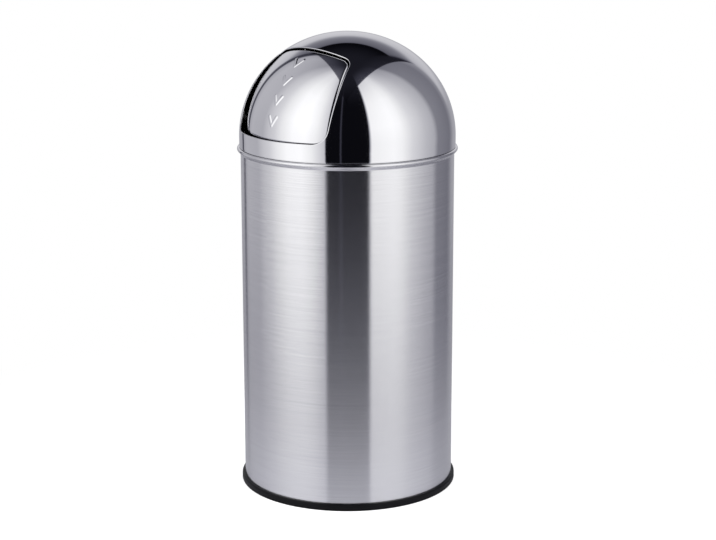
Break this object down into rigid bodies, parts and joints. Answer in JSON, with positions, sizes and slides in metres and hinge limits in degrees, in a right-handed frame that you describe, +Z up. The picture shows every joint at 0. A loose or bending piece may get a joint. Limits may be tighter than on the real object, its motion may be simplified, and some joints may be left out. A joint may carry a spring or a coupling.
{
  "type": "dome top push flap waste bin",
  "caption": "Tall round steel waste bin with a polished dome lid, a sprung push flap in the dome, and a lift-out inner bucket with a wire bail.",
  "frame": {"origin": "on the floor, on the tube's axis under the centre of the floor ring", "axes": "+Z up along the tube's axis, -Y out through the flap at the front, and +X to the right for someone who stands in front and faces the flap"},
  "size_m": [0.3615, 0.3616, 0.755],
  "materials": {
    "brushed_stainless": "brushed round the tube",
    "polished_stainless": "mirror polished",
    "galvanised_sheet": "galvanised, dull spangle",
    "plated_steel": "zinc plated",
    "spring_steel": "drawn wire",
    "black_plastic": "satin",
    "natural_nylon": "satin",
    "black_rubber": "matt"
  },
  "bodies": {
    "body": {"base_ring": "black_plastic", "base_plate": "galvanised_sheet", "body_shell": "brushed_stainless"},
    "bucket": {"bucket_shell": "galvanised_sheet", "bucket_bottom": "galvanised_sheet", "bail_ears": "plated_steel", "ear_rivets": "plated_steel"},
    "bail": {"bail_wire": "plated_steel"},
    "lid": {"dome": "polished_stainless", "lid_collar": "plated_steel", "hinge_bracket": "plated_steel", "hinge_rod": "plated_steel", "rod_clips": "spring_steel", "rod_washers": "natural_nylon", "flap_spring": "spring_steel"},
    "flap": {"flap_panel": "polished_stainless", "flap_hinge_plate": "plated_steel", "knuckle_bushes": "natural_nylon", "flap_stop_tabs": "plated_steel", "stop_buffers": "black_rubber"}
  },
  "joints": [
    {"name": "bucket_lift", "type": "slide", "parent": "body", "child": "bucket", "axis": [0, 0, 1], "range_m": [0, 0.58]},
    {"name": "lid_lift", "type": "slide", "parent": "bucket", "child": "lid", "axis": [0, 0, 1], "range_m": [0, 0.3]},
    {"name": "flap_swing", "type": "hinge", "parent": "lid", "child": "flap", "pos_m": [0, -0.06298, 0.71988], "axis": [1, 0, 0], "range_deg": [0, 65], "stiffness_Nm_per_rad": 0.2, "springref_deg": -85.94, "deforming": ["flap_spring"]},
    {"name": "bail_swing", "type": "hinge", "parent": "bucket", "child": "bail", "pos_m": [0, 0, 0.5366], "axis": [1, 0, 0], "range_deg": [0, 90]}
  ]
}
